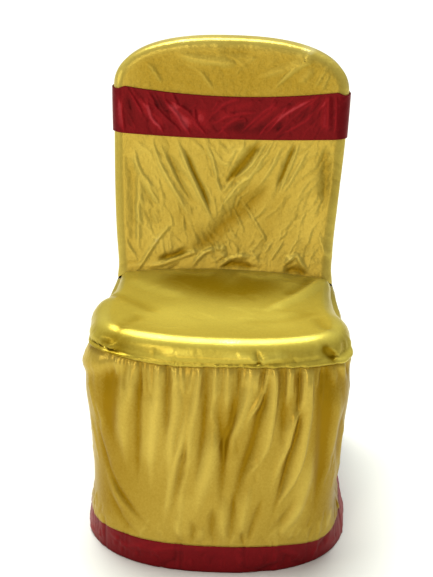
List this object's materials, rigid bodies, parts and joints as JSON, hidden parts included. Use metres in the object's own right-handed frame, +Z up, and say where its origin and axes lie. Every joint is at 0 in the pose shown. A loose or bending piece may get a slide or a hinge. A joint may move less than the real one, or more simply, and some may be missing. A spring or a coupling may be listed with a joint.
{
  "type": "fitted chair cover with sash",
  "caption": "Fitted satin cover for an armless stacking chair, with a back pocket, smooth seat, gathered skirt, contrasting hem border and a sash round the back.",
  "frame": {"origin": "on the underside of the middle of the back pocket's top, where the cover hangs on the chair's back", "axes": "+Z up; -Y out of the seat's front; +X to the right as seen from the front"},
  "size_m": [0.4774, 0.5884, 0.8416],
  "materials": {
    "gold_satin": "glossy satin weave",
    "maroon_satin": "glossy satin weave"
  },
  "bodies": {
    "root": {"back_front_panel": "gold_satin", "back_rear_panel": "gold_satin", "seat_panel": "gold_satin", "skirt": "gold_satin", "hem_border": "maroon_satin", "sash": "maroon_satin"}
  },
  "joints": []
}
